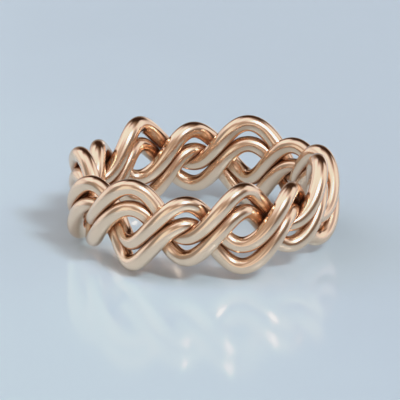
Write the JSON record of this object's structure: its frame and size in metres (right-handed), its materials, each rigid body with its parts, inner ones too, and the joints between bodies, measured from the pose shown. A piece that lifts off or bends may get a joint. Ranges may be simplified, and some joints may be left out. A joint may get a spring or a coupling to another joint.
{
  "type": "braided band ring",
  "caption": "Finger ring made as an open flat braid of round wire strands that swing up and down and hook round each other.",
  "frame": {"origin": "on the finger hole's axis, at the level of the lowest wave of the braid, which is the surface the ring rests on", "axes": "+Z along the finger hole's axis; the ring lies on its side, and -Y is the side that faces the picture's camera"},
  "size_m": [0.0228, 0.0228, 0.0087],
  "materials": {
    "rose_gold": "polished"
  },
  "bodies": {
    "root": {"bottom_strand": "rose_gold", "lower_strand": "rose_gold", "upper_strand": "rose_gold", "top_strand": "rose_gold"}
  },
  "joints": []
}
